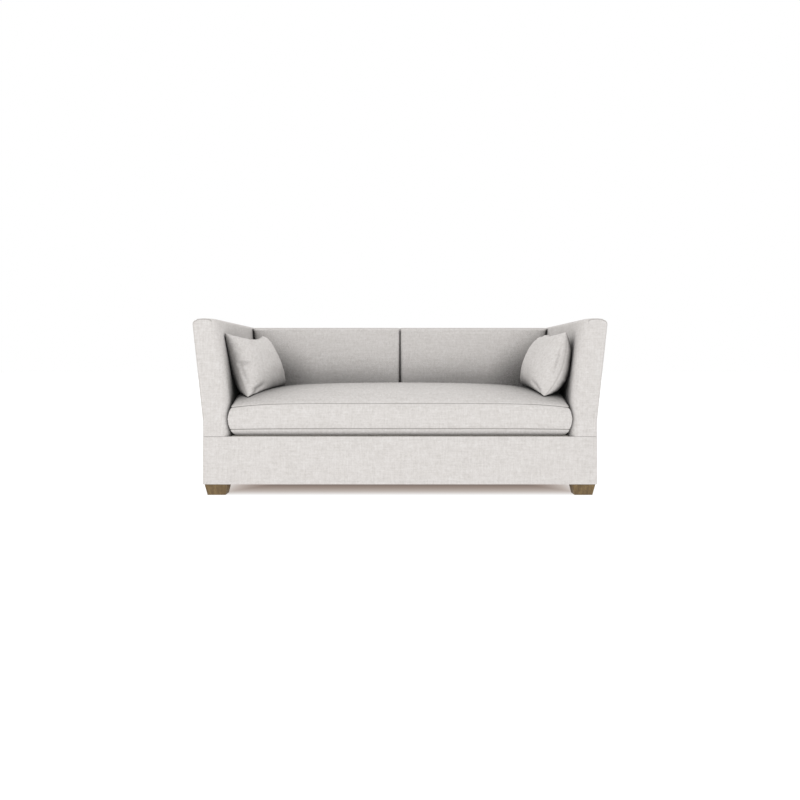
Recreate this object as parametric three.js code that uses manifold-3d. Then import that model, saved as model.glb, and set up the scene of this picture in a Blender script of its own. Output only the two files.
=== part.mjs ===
// Two-seat sofa with leaning arms, a bench seat cushion and two loose pillows, in millimetres.
// +Z is up, the front faces -Y, and the origin is on the floor under the middle of the sofa.
// Left and right are as seen by someone who stands in front of the sofa.
import * as THREE from "three";
import { mergeVertices } from "three/addons/utils/BufferGeometryUtils.js";
import Module from "manifold-3d";

const { clamp, lerp, mapLinear } = THREE.MathUtils;
const wasm = await Module();
wasm.setup();

// Overall form
const depth = 940;
const seatWidth = 1600; // between the arms at the seat deck
const armThickness = 130; // at the base
const armTopThickness = 113;
const armOutsideLean = 50; // how far the outside of an arm leans out up to its shoulder
const armInsideLean = 6; // how far the inside of an arm leans out up to its bend
const footHeight = 52;
const bandTop = 278; // top of the cloth band round the base
const leanStart = 347; // height where the outside of an arm starts to lean out
const armBend = 420; // height where the inside of an arm starts to lean out
const armTop = 832;
const armShoulderDrop = 26; // from an arm's top down to where its outside turns in
const backTopDrop = 3; // from the arms' tops down to the back's
const gap = 0.3; // between pieces that touch

// Upholstery
const skin = 15; // base band, outside arm and outside back, with their wadding
const insideArmPad = 24;
const frontPadDepth = 47;
const frontPadReach = 50; // how far the rounding of an arm's inner front edge reaches across
const frontPadTopReach = 26; // the same at the top of the arm
const frontPadEdge = 8; // rounding of an arm front's outer and top edges
const armTopInnerRound = 14;
const armTopOuterRound = 38;
const armTopSteps = 5;
const backPadThickness = 60;
const backDepth = 250; // from the back pad's face to the rear of the sofa, at backSeatHeight
const backSeatHeight = 500;
const backRake = 0.25; // how far the back pad's face goes back for each unit of height
const backPadSideRound = 22;
const backPadTopRound = 26;
const backPadRearRound = 8;
const backPadCrown = 8;
const backPadTopDropShare = 0.6; // how far the rounding of a pad's side also lowers its top

// Seat deck
const deckThickness = 15;
const deckLip = 7; // edge roll that rests on the rail in front of and behind the springs
const deckAboveBand = 1;

// Wooden frame
const rail = 32;
const railBottom = 54;
const railTop = 250;
const crossRailTop = 190;
const springRailFromRear = 275; // from the spring rail's front face to the rear of the sofa
const board = 22;
const frameBelowShoulder = 6; // from the arms' shoulders down to the top of the frame
const armRailHeight = 25;
const tackRailBottom = 290;
const tackRailHeight = 40;
const lowerRailBottom = 300;
const lowerRailHeight = 60;
const blockTop = 150;
const blockLeg = 100;
const blockChamfer = 30;
const uprightInset = 4; // from the side of the seat space to an outer upright

// Seat springs
const springCount = 7;
const outerSpringFromSide = 185; // from the side of the seat space to the middle of an outer spring
const springBends = 12;
const springWire = 3.8;
const springBarHalf = 16; // half the straight part of each bar across
const springBendOut = 18; // how far a bend's control points stand out from the bars' ends
const springArch = 7;
const springSides = 5;
const springStepsPerBend = 5;
const clipMetal = 1.5;
const clipLip = 5;
const clipStripWidth = 16;
const clipWidth = 30;
const clipArcSteps = 8;
const frontHookFromRail = 15; // from the front rail's front face to the end bar of a spring
const rearHookFromRail = 12; // from the spring rail's front face to the end bar

// Back webbing
const webbingThickness = 2;
const webbingHeight = 50;
const webbingBottoms = [430, 600];

// Dust cover, feet and hanger bolts
const dustCover = 1.5;
const footWidth = 108;
const footLength = 84; // from a foot's front to its back
const footTaper = 11; // how much each side is drawn in at the floor
const footSideInset = 8;
const footFrontInset = 3;
const boltFromRail = 12; // from the inside of the front or back rail to a bolt's middle
const boltDiameter = 8;
const boltInFoot = 28;
const boltInBlock = 55;
const boltTip = 6;
const boltCollar = 6.5; // radius of the plain collar between the two threads
const boltCollarHeight = 1.2;
const boltSides = 12;

// Seat cushion
const cushionUpperSeam = 434;
const cushionSeamDrop = 22; // how much lower the upper seam is at the ends
const cushionCrown = 81;
const cushionCorner = 14;
const cushionDrawIn = 26; // how far the lower edge lies inside the widest place of the side
const cushionFrontFlare = 17; // how far a front corner swells round the arm's rounded edge
// each row of the side: share of its height, and share of the draw-in
const cushionSideShares = [
  [0, 1],
  [0.05, 0.58],
  [0.135, 0.31],
  [0.225, 0.19],
  [0.425, 0.04],
  [0.64, 0],
  [0.877, 0.15],
  [1, 0.35],
];
const cushionTopShares = [0.04, 0.11, 0.22, 0.355, 0.52, 0.72]; // rings of the top, of half its depth
const cushionRoundingShare = 0.28; // how fast the corners of the top's rings grow rounder
const seamDropPower = 6; // the powers say how late a curve turns down towards an edge
const crownFall = 0.4; // share of the crown that is lost by the ends
const crownFallPower = 6;
const crownEndPower = 60;
const crownFrontPower = 2.6;
const crownRoundness = 0.85; // below one, the crown swells more steeply from its seam
const flarePower = 3;
const cushionCornerSteps = 4;
const cushionLongSteps = 14;
const cushionEndShares = [0.2, 0.4, 0.6, 0.8]; // points along each end, behind the arms' fronts

// Pillows
const pillowThickness = 190;
const pillowFlatness = 2.2; // the two powers shape the swell from rim to middle
const pillowFullness = 0.41;
const pillowCells = 18;
const pillowSoftness = 6; // how gently its cloth turns where it lies on the seat or the arm
// Places of the corners of each pillow's seam. A top corner: from the arm's inside, from the sofa's
// front, below the arm's top. A low corner, on the seat: from the seat space's side, from the front.
// Then how far the middle of each edge is drawn in, as a share of the pillow; below zero it bows out.
const pillowSeams = {
  left: {
    topFront: [8, 95, 63],
    topRear: [110, 468, 61],
    lowFront: [74, 60],
    lowRear: [183, 422],
    drawInShares: { top: 0.125, rear: 0.022, low: -0.04, front: 0.045 },
  },
  right: {
    topFront: [52, 104, 58],
    topRear: [20, 485, 60],
    lowFront: [110, 62],
    lowRear: [141, 435],
    drawInShares: { top: 0.08, rear: -0.016, low: -0.018, front: -0.039 },
  },
};

const finishes = {
  linen: { color: 0xe0dcd9, roughness: 0.92, metalness: 0 },
  deckCloth: { color: 0xd2cdc6, roughness: 0.95, metalness: 0 },
  darkCambric: { color: 0x2c2b2a, roughness: 0.95, metalness: 0 },
  oiledOak: { color: 0x7a6240, roughness: 0.55, metalness: 0 },
  sawnBeech: { color: 0xc8a67a, roughness: 0.8, metalness: 0 },
  juteWeb: { color: 0xa08a62, roughness: 0.9, metalness: 0 },
  springSteel: { color: 0x6f7274, roughness: 0.4, metalness: 0.9 },
  zincSteel: { color: 0xa9abad, roughness: 0.35, metalness: 0.9 },
};

// Places that follow from the sizes above
const front = -depth / 2;
const rear = depth / 2;
const baseWidth = seatWidth + 2 * armThickness;
const armTopWidth = baseWidth + 2 * armOutsideLean;
const armTopInsideWidth = armTopWidth - 2 * armTopThickness;
const armBendWidth = seatWidth + 2 * armInsideLean;
const baseSide = baseWidth / 2;
const armShoulder = armTop - armShoulderDrop;
const backTop = armTop - backTopDrop;
const frameTop = armShoulder - frameBelowShoulder;
const springRailFront = rear - springRailFromRear;
const boxFront = front + skin + gap;
const boxRear = rear - skin - gap;
const boxSide = baseSide - skin - gap;
const deckTop = bandTop + deckAboveBand;
const deckBottom = deckTop - deckThickness;
const padTopInside = frameTop + gap; // underside of the pads that cap the arms and back
const frontPadRear = front + frontPadDepth;

// Half the width over the outsides of the arms at a height.
function outerX(z) {
  if (z <= leanStart) return baseSide;
  return mapLinear(z, leanStart, armShoulder, baseSide, armTopWidth / 2);
}

// Half the width between the leaning upper insides of the arms, carried on below their bend.
function leaningX(z) {
  return mapLinear(z, armBend, armTop, armBendWidth / 2, armTopInsideWidth / 2);
}

// Half the width between the insides of the arms at a height.
function innerX(z) {
  if (z > armBend) return leaningX(z);
  return mapLinear(z, bandTop, armBend, seatWidth / 2, armBendWidth / 2);
}

// Place of the back pads' front face at a height.
function backFaceY(z) {
  return rear - backDepth + (z - backSeatHeight) * backRake;
}

const backFrameSetback = backPadThickness + webbingThickness + 2 * gap;

// Place of the back frame's raked front edge at a height.
function backFrameY(z) {
  return backFaceY(z) + backFrameSetback;
}

const point = (x, y) => new THREE.Vector2(x, y);

// Turns the axes of a drawing and its depth into the axes of the sofa.
const drawnOn = {
  XY: [new THREE.Vector3(1, 0, 0), new THREE.Vector3(0, 1, 0), new THREE.Vector3(0, 0, 1)],
  XZ: [new THREE.Vector3(1, 0, 0), new THREE.Vector3(0, 0, 1), new THREE.Vector3(0, -1, 0)],
  YZ: [new THREE.Vector3(0, 1, 0), new THREE.Vector3(0, 0, 1), new THREE.Vector3(1, 0, 0)],
};

// A solid with one outline, from one place to another along the axis square to it.
function prism(plane, outline, from, to) {
  const shape = new THREE.Shape(outline);
  const geometry = new THREE.ExtrudeGeometry(shape, { depth: to - from, bevelEnabled: false });
  const basis = new THREE.Matrix4().makeBasis(...drawnOn[plane]);
  geometry.applyMatrix4(basis);
  const start = plane === "XZ" ? -to : from;
  const along = drawnOn[plane][2].clone().multiplyScalar(start);
  return geometry.translate(along.x, along.y, along.z);
}

// A straight board between two corners.
function slab([x0, y0, z0], [x1, y1, z1]) {
  const geometry = new THREE.BoxGeometry(x1 - x0, y1 - y0, z1 - z0);
  return geometry.translate((x0 + x1) / 2, (y0 + y1) / 2, (z0 + z1) / 2);
}

// Triangles that fill one ring, seen from the side that the ring runs anticlockwise.
function ringCap(ring) {
  const size = new THREE.Box3().setFromPoints(ring).getSize(new THREE.Vector3());
  const thin = ["x", "y", "z"].reduce((least, axis) => (size[axis] < size[least] ? axis : least));
  const [a, b] = { x: ["y", "z"], y: ["z", "x"], z: ["x", "y"] }[thin];
  const flat = ring.map((p) => point(p[a], p[b]));
  const triangles = THREE.ShapeUtils.triangulateShape(flat, []);
  const filled = triangles.reduce((sum, t) => sum + THREE.ShapeUtils.area(t.map((i) => flat[i])), 0);
  const sameTurn = filled * THREE.ShapeUtils.area(flat) > 0;
  return sameTurn ? triangles : triangles.map((triangle) => triangle.reverse());
}

// Volume inside a closed set of triangles, negative if they face inwards.
function signedVolume(points, index) {
  let six = 0;
  for (let i = 0; i < index.length; i += 3) {
    const [a, b, c] = [points[index[i]], points[index[i + 1]], points[index[i + 2]]];
    six += a.dot(new THREE.Vector3().crossVectors(b, c));
  }
  return six / 6;
}

// A closed skin over a row of rings that have as many points each.
function loft(rings) {
  const points = rings.flat();
  const count = rings[0].length;
  const index = [];
  for (let r = 0; r + 1 < rings.length; r++) {
    for (let i = 0; i < count; i++) {
      const a = r * count + i;
      const b = r * count + ((i + 1) % count);
      index.push(a, b, b + count, a, b + count, a + count);
    }
  }
  const lastStart = (rings.length - 1) * count;
  for (const [a, b, c] of ringCap(rings[0])) index.push(c, b, a);
  for (const corner of ringCap(rings.at(-1)).flat()) index.push(corner + lastStart);
  if (signedVolume(points, index) < 0) index.reverse();
  const geometry = new THREE.BufferGeometry().setFromPoints(points);
  return geometry.setIndex(index);
}

// The same shape on the other side of the sofa.
function mirrored(geometry) {
  const copy = geometry.clone().scale(-1, 1, 1);
  if (!copy.index) copy.setIndex([...Array(copy.attributes.position.count).keys()]);
  copy.index.array.reverse();
  return copy;
}

function toManifold(geometry) {
  const bare = geometry.clone();
  for (const name of ["normal", "uv"]) bare.deleteAttribute(name);
  const merged = mergeVertices(bare);
  return new wasm.Manifold(
    new wasm.Mesh({
      numProp: 3,
      vertProperties: new Float32Array(merged.attributes.position.array),
      triVerts: new Uint32Array(merged.index.array),
    }),
  );
}

function fromManifold(solid) {
  const { vertProperties, triVerts } = solid.getMesh();
  const geometry = new THREE.BufferGeometry();
  geometry.setAttribute("position", new THREE.BufferAttribute(vertProperties, 3));
  return geometry.setIndex(new THREE.BufferAttribute(triVerts, 1));
}

const joined = (first, ...others) =>
  fromManifold(others.reduce((solid, other) => solid.add(toManifold(other)), toManifold(first)));
const cutBy = (first, ...others) =>
  fromManifold(others.reduce((solid, other) => solid.subtract(toManifold(other)), toManifold(first)));

const sofa = new THREE.Group();

function addPiece(parent, name, geometry, finish) {
  if (!geometry.attributes.normal) geometry.computeVertexNormals();
  const mesh = new THREE.Mesh(geometry, new THREE.MeshStandardMaterial(finishes[finish]));
  mesh.name = name;
  parent.add(mesh);
  return mesh;
}

// Adds a piece made for the right side, and its mirror image on the left.
function addPair(parent, name, geometry, finish) {
  addPiece(parent, `${name}_right`, geometry, finish);
  addPiece(parent, `${name}_left`, mirrored(geometry), finish);
}

function addGroup() {
  const group = new THREE.Group();
  sofa.add(group);
  return group;
}

const footCentre = point(
  baseSide - footSideInset - footWidth / 2,
  front + footFrontInset + footLength / 2,
);
const boltPlace = point(footCentre.x, boxFront + rail + boltFromRail);
const corners = [
  ["front_left", -1, 1],
  ["front_right", 1, 1],
  ["rear_left", -1, -1],
  ["rear_right", 1, -1],
];

// An upright round bar between two heights, where a corner's bolt is.
function footBar(radius, from, to, [, sideways, lengthways]) {
  const bar = new THREE.CylinderGeometry(radius, radius, to - from, boltSides);
  bar.rotateX(Math.PI / 2);
  return bar.translate(sideways * boltPlace.x, lengthways * boltPlace.y, (from + to) / 2);
}

// Seat box
function addSeatBox() {
  const box = addGroup();
  const frontRailRear = boxFront + rail;
  const insideFront = frontRailRear + gap;
  const sideInner = boxSide - rail;
  const beech = "sawnBeech";
  addPiece(box, "front_rail",
    slab([-boxSide, boxFront, railBottom], [boxSide, frontRailRear, railTop]), beech);
  addPiece(box, "back_rail",
    slab([-boxSide, -frontRailRear, railBottom], [boxSide, boxRear, railTop]), beech);
  addPair(box, "side_rail",
    slab([sideInner, insideFront, railBottom], [boxSide, -insideFront, railTop]), beech);
  addPiece(box, "seat_cross_rail",
    slab([-rail / 2, insideFront, railBottom], [rail / 2, -insideFront, crossRailTop]), beech);
  addPiece(box, "spring_rail",
    slab([gap - sideInner, springRailFront, crossRailTop + gap],
      [sideInner - gap, springRailFront + rail, railTop]), beech);
  for (const corner of corners) {
    const [name, sideways, lengthways] = corner;
    const outline = [
      [0, 0],
      [blockLeg, 0],
      [blockLeg, blockChamfer],
      [blockChamfer, blockLeg],
      [0, blockLeg],
    ].map(([x, y]) => point(sideways * (sideInner - gap - x), lengthways * (insideFront + y)));
    const block = prism("XY", outline, railBottom, blockTop);
    const hole = footBar(boltDiameter / 2 + gap, footHeight, blockTop + gap, corner);
    addPiece(box, `corner_block_${name}`, cutBy(block, hole), beech);
  }
}

// Arms
function addArmFrames() {
  const arms = addGroup();
  const boardFront = frontPadRear + gap;
  const rearBoardFront = boxRear - board;
  const inner = (z) => innerX(z) + insideArmPad + gap;
  const outer = (z) => outerX(z) - skin - gap;
  const legOuter = boxSide - rail - gap;
  const aboveRail = railTop + gap;
  const profile = [
    point(outer(aboveRail), aboveRail),
    point(outer(leanStart), leanStart),
    point(outer(frameTop), frameTop),
    point(inner(frameTop), frameTop),
    point(inner(armBend), armBend),
  ];
  const leg = [
    point(inner(bandTop), blockTop + gap),
    point(legOuter, blockTop + gap),
    point(legOuter, aboveRail),
  ];
  addPair(arms, "arm_front_board",
    prism("XZ", [...profile, ...leg], boardFront, boardFront + board), "sawnBeech");
  addPair(arms, "arm_rear_board",
    prism("XZ", [...profile, point(inner(bandTop), aboveRail)], rearBoardFront, boxRear),
    "sawnBeech");
  const between = [boardFront + board + gap, rearBoardFront - gap];
  const topRailBottom = frameTop - armRailHeight;
  addPair(arms, "arm_top_rail",
    slab([inner(frameTop), between[0], topRailBottom],
      [outer(topRailBottom), between[1], frameTop]), "sawnBeech");
  const tackRailInner = inner(tackRailBottom + tackRailHeight);
  addPair(arms, "arm_tack_rail",
    slab([tackRailInner, between[0], tackRailBottom],
      [tackRailInner + board, between[1], tackRailBottom + tackRailHeight]), "sawnBeech");
}

// The skin line of the right arm, from its inner foot over the top to its outer foot.
function armSkinLine(bottom) {
  const line = new THREE.Path();
  const innerCornerZ = armTop - armTopInnerRound;
  line.moveTo(innerX(bottom), bottom);
  for (const share of [0.5, 1]) {
    const z = lerp(bottom, armBend, share);
    line.lineTo(innerX(z), z);
  }
  for (const share of [0.25, 0.5, 0.75, 1]) {
    const z = lerp(armBend, innerCornerZ, share);
    line.lineTo(innerX(z), z);
  }
  line.quadraticCurveTo(innerX(armTop), armTop, innerX(armTop) + armTopInnerRound, armTop);
  line.lineTo(outerX(armShoulder) - armTopOuterRound, armTop - gap);
  line.quadraticCurveTo(outerX(armShoulder), armTop - gap, outerX(armShoulder), armShoulder);
  return line.getPoints(armTopSteps);
}

function armSkinWithOutside(bottom) {
  const middleZ = (armShoulder + leanStart) / 2;
  return [
    ...armSkinLine(bottom),
    point(outerX(middleZ), middleZ),
    point(outerX(leanStart), leanStart),
    point(outerX(bottom), bottom),
  ];
}

function addArmPads() {
  const pads = addGroup();
  const padStart = frontPadRear + gap;
  const overFrame = armShoulder + gap;
  const outerEnd = outerX(armShoulder);
  const insidePanel = outerX(padTopInside) - skin - gap;
  const backSide = [
    point(outerEnd, overFrame),
    point(insidePanel, overFrame),
    point(insidePanel, padTopInside),
    point(innerX(frameTop) + insideArmPad, padTopInside),
    point(innerX(armBend) + insideArmPad, armBend),
    point(innerX(deckBottom) + insideArmPad, deckBottom),
  ];
  const skinLine = armSkinLine(deckBottom).slice(0, -1);
  const insideAndTop = prism("XZ", [...skinLine, ...backSide], padStart, boxRear - board - gap);
  const capLine = skinLine.filter((p) => p.y > overFrame);
  const capEnds = [point(outerEnd, overFrame), point(innerX(overFrame), overFrame)];
  const cap = prism("XZ", [...capLine, ...capEnds], padStart, rear);
  addPair(pads, "inside_arm_pad", joined(insideAndTop, cap), "linen");

  const outsideProfile = [
    point(baseSide, bandTop + gap),
    point(baseSide, leanStart),
    point(outerEnd, armShoulder),
    point(outerEnd - skin, armShoulder),
    point(baseSide - skin, leanStart),
    point(baseSide - skin, bandTop + gap),
  ];
  addPair(pads, "outside_arm_panel",
    prism("XZ", outsideProfile, padStart, rear - skin - gap), "linen");
  addPair(pads, "arm_front_pad", armFrontPad(), "linen");
}

// Front of the right arm: rounded far across at its inner edge and a little at the others.
function armFrontPad() {
  const line = armSkinWithOutside(bandTop + gap);
  const depthShares = [0, 0.3, 0.52, 0.7, 0.83, 0.9, 0.96, 1];
  const rings = depthShares.map((share) => {
    const y = frontPadRear - share * frontPadDepth;
    const edgeShare = clamp(1 - (y - front) / frontPadEdge, 0, 1);
    const edge = frontPadEdge * (1 - Math.sqrt(1 - edgeShare ** 2));
    const bend = 1 - Math.sqrt(1 - share ** 2);
    return line.map((p) => {
      const reach = p.y < armBend
        ? frontPadReach
        : mapLinear(p.y, armBend, armTop, frontPadReach, frontPadTopReach);
      const skinInner = innerX(p.y);
      const skinOuter = outerX(Math.min(p.y, armShoulder));
      const x = mapLinear(p.x, skinInner, skinOuter, skinInner + reach * bend, skinOuter - edge);
      const topShare = clamp((p.y - armShoulder) / (armTop - armShoulder), 0, 1);
      return new THREE.Vector3(x, y, p.y - edge * topShare);
    });
  });
  return loft(rings);
}

// Base
function addBase() {
  const base = addGroup();
  const sideEnd = depth / 2 - skin - gap;
  addPiece(base, "front_base_band",
    slab([-baseSide, front, footHeight], [baseSide, front + skin, bandTop]), "linen");
  addPiece(base, "back_base_band",
    slab([-baseSide, rear - skin, footHeight], [baseSide, rear, bandTop]), "linen");
  addPair(base, "side_base_band",
    slab([baseSide - skin, -sideEnd, footHeight], [baseSide, sideEnd, bandTop]), "linen");

  const sheet = slab([-boxSide, boxFront, footHeight], [boxSide, boxRear, footHeight + dustCover]);
  const holes = corners.map((corner) =>
    footBar(boltCollar + gap, footHeight - gap, railBottom, corner));
  addPiece(base, "dust_cover", cutBy(sheet, ...holes), "darkCambric");
  for (const corner of corners) addFoot(base, corner);
}

function addFoot(parent, corner) {
  const [name, sideways, lengthways] = corner;
  const top = footHeight - gap;
  const level = (taper, z) => [[-1, -1], [1, -1], [1, 1], [-1, 1]].map(([a, b]) =>
    new THREE.Vector3(a * (footWidth / 2 - taper), b * (footLength / 2 - taper), z));
  const body = loft([level(footTaper, 0), level(0, top)]);
  body.translate(sideways * footCentre.x, lengthways * footCentre.y, 0);
  const boltLow = footHeight - boltInFoot;
  const radius = boltDiameter / 2;
  const bore = footBar(radius + gap, boltLow - gap, footHeight, corner);
  addPiece(parent, `foot_${name}`, cutBy(body, bore), "oiledOak");

  const profile = [
    point(0, boltLow),
    point(radius, boltLow),
    point(radius, footHeight + gap),
    point(boltCollar, footHeight + gap),
    point(boltCollar, footHeight + gap + boltCollarHeight),
    point(radius, footHeight + gap + boltCollarHeight),
    point(radius, footHeight + boltInBlock - boltTip),
    point(0, footHeight + boltInBlock),
  ];
  const bolt = new THREE.LatheGeometry(profile, boltSides).rotateX(Math.PI / 2);
  bolt.translate(sideways * boltPlace.x, lengthways * boltPlace.y, 0);
  addPiece(parent, `hanger_bolt_${name}`, bolt, "zincSteel");
}

// Springs and the clips that hold them
const wireZ = railTop + 2 * gap + clipMetal + springWire / 2;
const frontBarY = boxFront + frontHookFromRail;
const rearBarY = springRailFront + rearHookFromRail;
const springSpacing = (seatWidth - 2 * outerSpringFromSide) / (springCount - 1);
const springPlaces = Array.from({ length: springCount },
  (_, i) => (i - (springCount - 1) / 2) * springSpacing);

// One wire that snakes from the front rail to the spring rail, a little arched.
function springWireGeometry(centreX) {
  const barPoint = (bar, reach) => {
    const share = bar / springBends;
    const z = wireZ + springArch * Math.sin(Math.PI * share);
    return new THREE.Vector3(centreX + reach, lerp(frontBarY, rearBarY, share), z);
  };
  const path = new THREE.CurvePath();
  for (let bar = 0; bar <= springBends; bar++) {
    const way = bar % 2 ? -1 : 1;
    const end = way * springBarHalf;
    path.add(new THREE.LineCurve3(barPoint(bar, -end), barPoint(bar, end)));
    if (bar === springBends) break;
    const out = end + way * springBendOut;
    path.add(new THREE.CubicBezierCurve3(barPoint(bar, end), barPoint(bar, out),
      barPoint(bar + 1, out), barPoint(bar + 1, end)));
  }
  const ring = Array.from({ length: springSides }, (_, i) => {
    const angle = (2 * Math.PI * i) / springSides;
    return point((springWire / 2) * Math.cos(angle), (springWire / 2) * Math.sin(angle));
  });
  return new THREE.ExtrudeGeometry(new THREE.Shape(ring), {
    steps: springBends * springStepsPerBend,
    extrudePath: path,
    bevelEnabled: false,
  });
}

// A strip along a rail with a hook round each spring's end bar; facing is 1 where it opens to +Y.
function clipStrip(barY, facing) {
  const inside = springWire / 2 + gap;
  const outside = inside + clipMetal;
  const arc = (radius, from, to) => Array.from({ length: clipArcSteps + 1 }, (_, i) => {
    const angle = lerp(from, to, i / clipArcSteps);
    return [radius * Math.cos(angle), radius * Math.sin(angle)];
  });
  const hook = [
    ...arc(outside, 1.5 * Math.PI, 0.5 * Math.PI),
    [clipLip, outside],
    [clipLip, inside],
    ...arc(inside, 0.5 * Math.PI, 1.5 * Math.PI),
    [clipLip, -inside],
    [clipLip, -outside],
  ].map(([y, z]) => point(barY + facing * y, wireZ + z));
  const hooks = springPlaces.map((x) => prism("YZ", hook, x - clipWidth / 2, x + clipWidth / 2));
  const stripEnd = springPlaces.at(-1) + clipWidth;
  const [y0, y1] = facing > 0 ? [barY, barY + clipStripWidth] : [barY - clipStripWidth, barY];
  const strip = slab([-stripEnd, y0, wireZ - outside], [stripEnd, y1, wireZ - inside]);
  return joined(strip, ...hooks);
}

function addSuspension() {
  const suspension = addGroup();
  springPlaces.forEach((x, i) =>
    addPiece(suspension, `seat_spring_${i + 1}`, springWireGeometry(x), "springSteel"));
  addPiece(suspension, "front_clip_strip", clipStrip(frontBarY, 1), "zincSteel");
  addPiece(suspension, "rear_clip_strip", clipStrip(rearBarY, -1), "zincSteel");
  const rearLipEnd = backFrameY(railTop) - gap;
  const outline = [
    [boxFront, railTop + gap],
    [boxFront + deckLip, railTop + gap],
    [boxFront + deckLip, deckBottom],
    [rearLipEnd - deckLip, deckBottom],
    [rearLipEnd - deckLip, railTop + gap],
    [rearLipEnd, railTop + gap],
    [rearLipEnd, deckTop],
    [boxFront, deckTop],
  ].map(([y, z]) => point(y, z));
  const halfWidth = innerX(deckBottom) - gap;
  addPiece(suspension, "seat_deck", prism("YZ", outline, -halfWidth, halfWidth), "deckCloth");
}

// Back
function addBackFrame() {
  const back = addGroup();
  const railFloor = railTop + gap;
  const uprightTop = frameTop - armRailHeight - gap;
  const notchFrom = lowerRailBottom - gap;
  const notchTo = lowerRailBottom + lowerRailHeight + gap;
  const outline = [
    point(backFrameY(railFloor), railFloor),
    point(backFrameY(notchFrom), notchFrom),
    point(backFrameY(notchFrom) + board + gap, notchFrom),
    point(backFrameY(notchTo) + board + gap, notchTo),
    point(backFrameY(notchTo), notchTo),
    point(backFrameY(uprightTop), uprightTop),
    point(boxRear, uprightTop),
    point(boxRear, railFloor),
  ];
  const outerSide = seatWidth / 2 - uprightInset;
  addPair(back, "back_upright", prism("YZ", outline, outerSide - board, outerSide), "sawnBeech");
  addPiece(back, "back_upright_middle", prism("YZ", outline, -board / 2, board / 2), "sawnBeech");

  const topRail = [
    point(backFrameY(uprightTop + gap), uprightTop + gap),
    point(backFrameY(frameTop), frameTop),
    point(boxRear, frameTop),
    point(boxRear, uprightTop + gap),
  ];
  addPiece(back, "back_top_rail", prism("YZ", topRail, -outerSide, outerSide), "sawnBeech");
  addPiece(back, "back_lower_rail",
    rakedStrip(lowerRailBottom, lowerRailHeight, 0, board, outerSide), "sawnBeech");
  webbingBottoms.forEach((bottom, i) => {
    const setback = -gap - webbingThickness;
    addPiece(back, `back_webbing_${i + 1}`,
      rakedStrip(bottom, webbingHeight, setback, webbingThickness, outerSide), "juteWeb");
  });
}

// A strip across the sofa that lies along the rake of the back frame.
function rakedStrip(bottom, height, setback, thickness, halfLength) {
  const top = bottom + height;
  const outline = [
    point(backFrameY(bottom) + setback, bottom),
    point(backFrameY(top) + setback, top),
    point(backFrameY(top) + setback + thickness, top),
    point(backFrameY(bottom) + setback + thickness, bottom),
  ];
  return prism("YZ", outline, -halfLength, halfLength);
}

// Tight pad on the right half of the back, lofted from the middle seam out to the arm.
function backPad() {
  const bottom = deckTop + gap;
  const faceShares = [0, 0.3, 0.44, 0.58, 0.72, 0.86, 1];
  const arcShares = [0.25, 0.5, 0.75, 1];
  const faceTop = backTop - backPadTopRound;
  const faceLevels = faceShares.map((share) => lerp(bottom, faceTop, share));
  const topStart = backFaceY(faceTop) + backPadTopRound;
  const crownFrom = cushionUpperSeam + cushionCrown;
  const endRound = backPadSideRound;
  const width = innerX(backSeatHeight);
  const roundingShares = [0, 0.14, 0.4, 1].map((share) => (endRound * share) / width);
  const middleShares = [0.25, 0.5, 0.75];
  const farShares = roundingShares.map((share) => 1 - share).reverse();
  const across = [...roundingShares, ...middleShares, ...farShares];
  const rings = across.map((s) => {
    const fromEnd = clamp(Math.min(s, 1 - s) * width, 0, endRound);
    const drawnIn = endRound - Math.sqrt(endRound ** 2 - (endRound - fromEnd) ** 2);
    const place = (y, z) => {
      return new THREE.Vector3(lerp(gap / 2, leaningX(z) - gap, s), y, z);
    };
    const face = faceLevels.map((z) => {
      const swell = Math.sin(Math.PI * clamp((z - crownFrom) / (backTop - crownFrom), 0, 1));
      return place(backFaceY(z) + drawnIn - backPadCrown * swell * Math.sin(Math.PI * s), z);
    });
    const topDrop = drawnIn * backPadTopDropShare;
    const arc = arcShares.map((share) => {
      const angle = (share * Math.PI) / 2;
      const y = topStart - backPadTopRound * Math.cos(angle) + drawnIn * (1 - share);
      const z = faceTop + (backPadTopRound - topDrop) * Math.sin(angle);
      return place(y, z);
    });
    const behind = [
      place(rear - backPadRearRound, backTop - topDrop),
      place(rear, backTop - Math.max(topDrop, backPadRearRound)),
      place(rear, armShoulder + gap),
      place(boxRear, armShoulder + gap),
      place(boxRear, padTopInside),
      ...[padTopInside, bottom].map((z) => place(backFaceY(z) + backPadThickness, z)),
    ];
    return [...face, ...arc, ...behind];
  });
  return loft(rings);
}

function addBackPads() {
  const pads = addGroup();
  addPair(pads, "back_pad", backPad(), "linen");
  const bottom = bandTop + gap;
  const outline = [
    point(outerX(bottom), bottom),
    point(outerX(leanStart), leanStart),
    point(outerX(armShoulder), armShoulder),
    point(-outerX(armShoulder), armShoulder),
    point(-outerX(leanStart), leanStart),
    point(-outerX(bottom), bottom),
  ];
  addPiece(pads, "outside_back_panel", prism("XZ", outline, rear - skin, rear), "linen");
}

// Height of the upper seam of the seat cushion, lower towards its ends.
function seamZ(x) {
  const share = clamp(Math.abs(x) / (seatWidth / 2), 0, 1);
  return cushionUpperSeam - cushionSeamDrop * share ** seamDropPower;
}

const cushionSeamInset = cushionDrawIn * cushionSideShares.at(-1)[1];
const cushionTopHalf = innerX(cushionUpperSeam) - gap - cushionSeamInset;
const cushionTopFront = front + cushionSeamInset;
const cushionTopRear = backFaceY(cushionUpperSeam) - gap - cushionSeamInset;

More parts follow.
